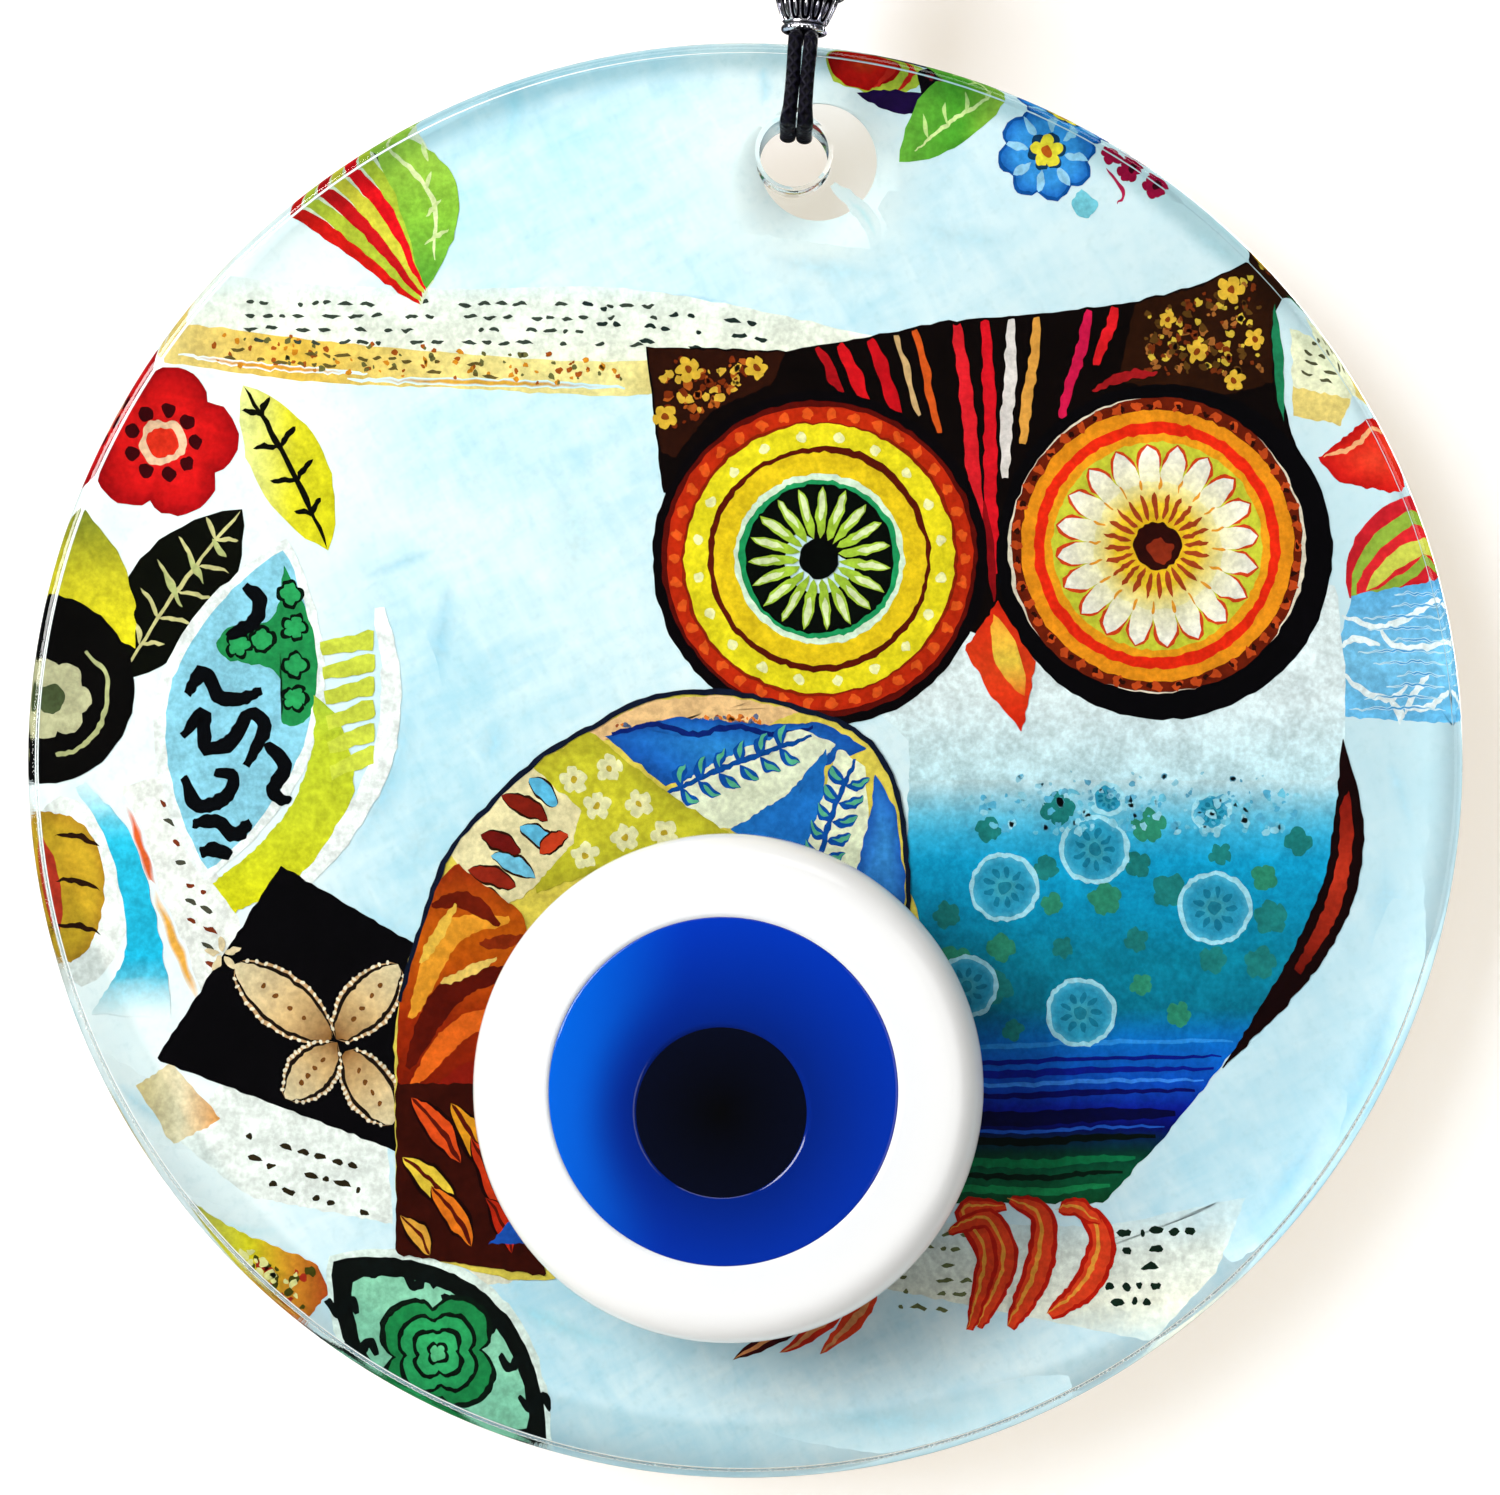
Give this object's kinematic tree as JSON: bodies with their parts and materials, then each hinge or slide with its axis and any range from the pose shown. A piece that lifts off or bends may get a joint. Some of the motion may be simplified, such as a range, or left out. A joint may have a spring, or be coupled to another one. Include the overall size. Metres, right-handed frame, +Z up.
{
  "type": "evil eye wall ornament",
  "caption": "Round clear glass plaque with a picture behind it and a domed glass eye on its front, hung by a doubled cord with a bead between two caps.",
  "frame": {"origin": "inside top of the cord's hanging loop, where the nail or hook bears", "axes": "+Z up, +Y into the wall, square to the disc's faces, +X to the right of a person who faces the ornament"},
  "size_m": [0.145, 0.018, 0.2232],
  "materials": {
    "clear_glass": "polished",
    "printed_film": "printed",
    "white_coat": "matt",
    "clear_adhesive": "clear",
    "white_glass": "opaque fused",
    "blue_glass": "opaque fused",
    "black_glass": "opaque fused",
    "cord": "waxed",
    "antique_silver": "antique silver plate",
    "dark_bead": "gloss"
  },
  "bodies": {
    "hanger": {"hanging_loop": "cord"},
    "knot": {"knot": "cord", "knot_tails": "cord"},
    "stem": {"stem_cords": "cord"},
    "lower_cap": {"lower_cap": "antique_silver"},
    "bead": {"bead": "dark_bead"},
    "upper_cap": {"upper_cap": "antique_silver"},
    "hitch": {"hitch_cord_left": "cord", "hitch_cord_right": "cord"},
    "plaque": {"glass_disc": "clear_glass", "print_film": "printed_film", "back_coat": "white_coat", "eye_glue": "clear_adhesive", "eye_white": "white_glass", "eye_blue": "blue_glass", "eye_pupil": "black_glass"}
  },
  "joints": [
    {"name": "loop_sway", "type": "hinge", "parent": "hanger", "child": "knot", "pos_m": [0, 0, -0.0548], "axis": [0, 1, 0], "range_deg": [-30, 30]},
    {"name": "swing_out", "type": "hinge", "parent": "knot", "child": "stem", "pos_m": [0, 0, -0.0548], "axis": [-1, 0, 0], "range_deg": [0, 45]},
    {"name": "disc_twist", "type": "hinge", "parent": "stem", "child": "hitch", "pos_m": [0, 0, -0.0747], "axis": [0, 0, 1], "range_deg": [-180, 180]},
    {"name": "disc_rock", "type": "hinge", "parent": "hitch", "child": "plaque", "pos_m": [0, 0, -0.08774], "axis": [0, 1, 0], "range_deg": [-8, 8]},
    {"name": "lower_cap_spin", "type": "hinge", "parent": "stem", "child": "lower_cap", "pos_m": [0, 0, -0.073], "axis": [0, 0, 1], "continuous": true},
    {"name": "bead_spin", "type": "hinge", "parent": "stem", "child": "bead", "pos_m": [0, 0, -0.0666], "axis": [0, 0, 1], "continuous": true},
    {"name": "upper_cap_spin", "type": "hinge", "parent": "stem", "child": "upper_cap", "pos_m": [0, 0, -0.06], "axis": [0, 0, 1], "continuous": true}
  ]
}
